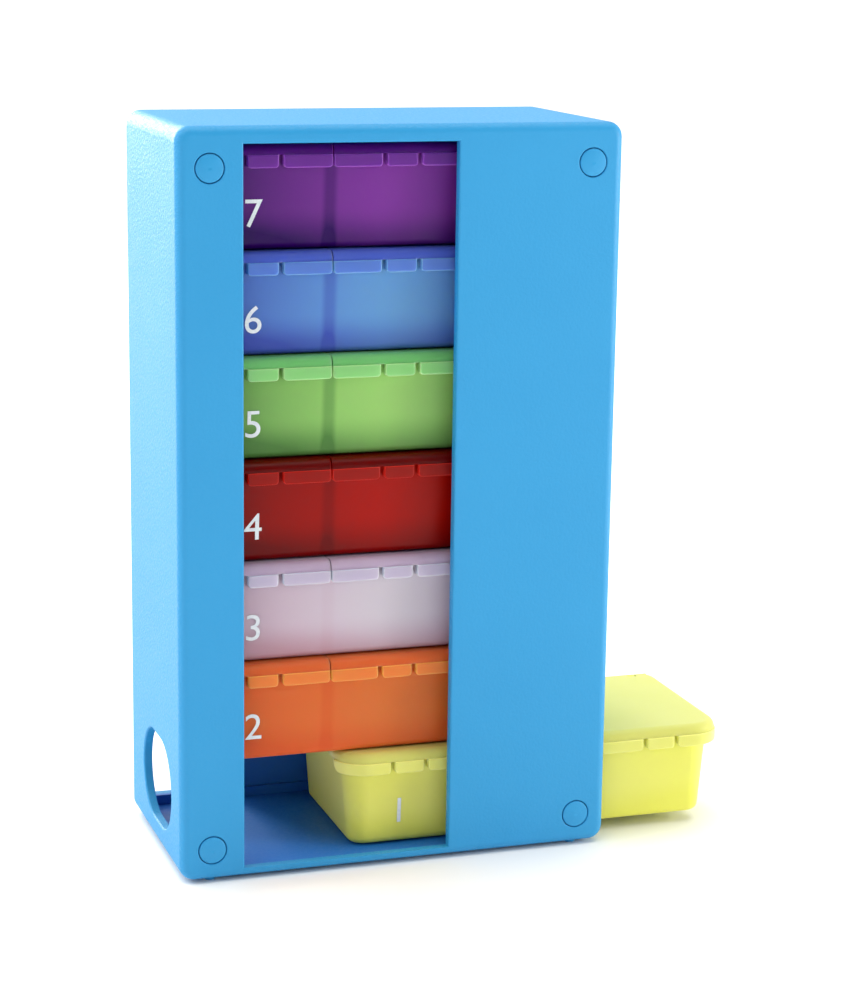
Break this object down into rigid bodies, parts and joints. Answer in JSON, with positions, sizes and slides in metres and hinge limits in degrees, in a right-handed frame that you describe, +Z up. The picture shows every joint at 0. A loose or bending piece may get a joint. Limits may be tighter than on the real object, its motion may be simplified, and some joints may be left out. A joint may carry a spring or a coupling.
{
  "type": "weekly pill organizer",
  "caption": "Upright plastic case with a tall front window, holding a stack of lidded pill trays; the bottom tray slides out at the side.",
  "frame": {"origin": "centre of the case's underside, above the plane of the four small feet", "axes": "+X is the side the bottom tray leaves by, -Y is the front with the window, +Z is up"},
  "size_m": [0.1434, 0.0553, 0.1808],
  "materials": {
    "case_plastic": "fine moulded texture",
    "tray_1_yellow": "translucent satin",
    "tray_2_orange": "translucent satin",
    "tray_3_clear": "translucent satin",
    "tray_4_red": "translucent satin",
    "tray_5_green": "translucent satin",
    "tray_6_blue": "translucent satin",
    "tray_7_purple": "translucent satin"
  },
  "bodies": {
    "case": {"case_body": "case_plastic", "back_panel": "case_plastic", "corner_plug_bottom_left": "case_plastic", "corner_plug_bottom_right": "case_plastic", "corner_plug_top_left": "case_plastic", "corner_plug_top_right": "case_plastic"},
    "tray_1": {"tray_1_base": "tray_1_yellow", "tray_1_lid_left": "tray_1_yellow", "tray_1_lid_middle": "tray_1_yellow"},
    "tray_1_lid": {"tray_1_lid_right": "tray_1_yellow"},
    "tray_2": {"tray_2_base": "tray_2_orange", "tray_2_lid_left": "tray_2_orange", "tray_2_lid_middle": "tray_2_orange", "tray_2_lid_right": "tray_2_orange"},
    "tray_3": {"tray_3_base": "tray_3_clear", "tray_3_lid_left": "tray_3_clear", "tray_3_lid_middle": "tray_3_clear", "tray_3_lid_right": "tray_3_clear"},
    "tray_4": {"tray_4_base": "tray_4_red", "tray_4_lid_left": "tray_4_red", "tray_4_lid_middle": "tray_4_red", "tray_4_lid_right": "tray_4_red"},
    "tray_5": {"tray_5_base": "tray_5_green", "tray_5_lid_left": "tray_5_green", "tray_5_lid_middle": "tray_5_green", "tray_5_lid_right": "tray_5_green"},
    "tray_6": {"tray_6_base": "tray_6_blue", "tray_6_lid_left": "tray_6_blue", "tray_6_lid_middle": "tray_6_blue", "tray_6_lid_right": "tray_6_blue"},
    "tray_7": {"tray_7_base": "tray_7_purple", "tray_7_lid_left": "tray_7_purple", "tray_7_lid_middle": "tray_7_purple", "tray_7_lid_right": "tray_7_purple"}
  },
  "joints": [
    {"name": "tray_1_slide", "type": "slide", "parent": "case", "child": "tray_1", "axis": [1, 0, 0], "range_m": [-0.0376, 0.0694]},
    {"name": "tray_1_lid_right_hinge", "type": "hinge", "parent": "tray_1", "child": "tray_1_lid", "pos_m": [0.0712, 0.0226, 0.0251], "axis": [-1, 0, 0], "range_deg": [0, 180]},
    {"name": "tray_2_end_float", "type": "slide", "parent": "case", "child": "tray_2", "axis": [1, 0, 0], "range_m": [-0.0011, 0.0003]},
    {"name": "tray_3_end_float", "type": "slide", "parent": "case", "child": "tray_3", "axis": [1, 0, 0], "range_m": [-0.0011, 0.0003]},
    {"name": "tray_4_end_float", "type": "slide", "parent": "case", "child": "tray_4", "axis": [1, 0, 0], "range_m": [-0.0011, 0.0003]},
    {"name": "tray_5_end_float", "type": "slide", "parent": "case", "child": "tray_5", "axis": [1, 0, 0], "range_m": [-0.0011, 0.0003]},
    {"name": "tray_6_end_float", "type": "slide", "parent": "case", "child": "tray_6", "axis": [1, 0, 0], "range_m": [-0.0011, 0.0003]},
    {"name": "tray_7_end_float", "type": "slide", "parent": "case", "child": "tray_7", "axis": [1, 0, 0], "range_m": [-0.0011, 0.0003]}
  ]
}
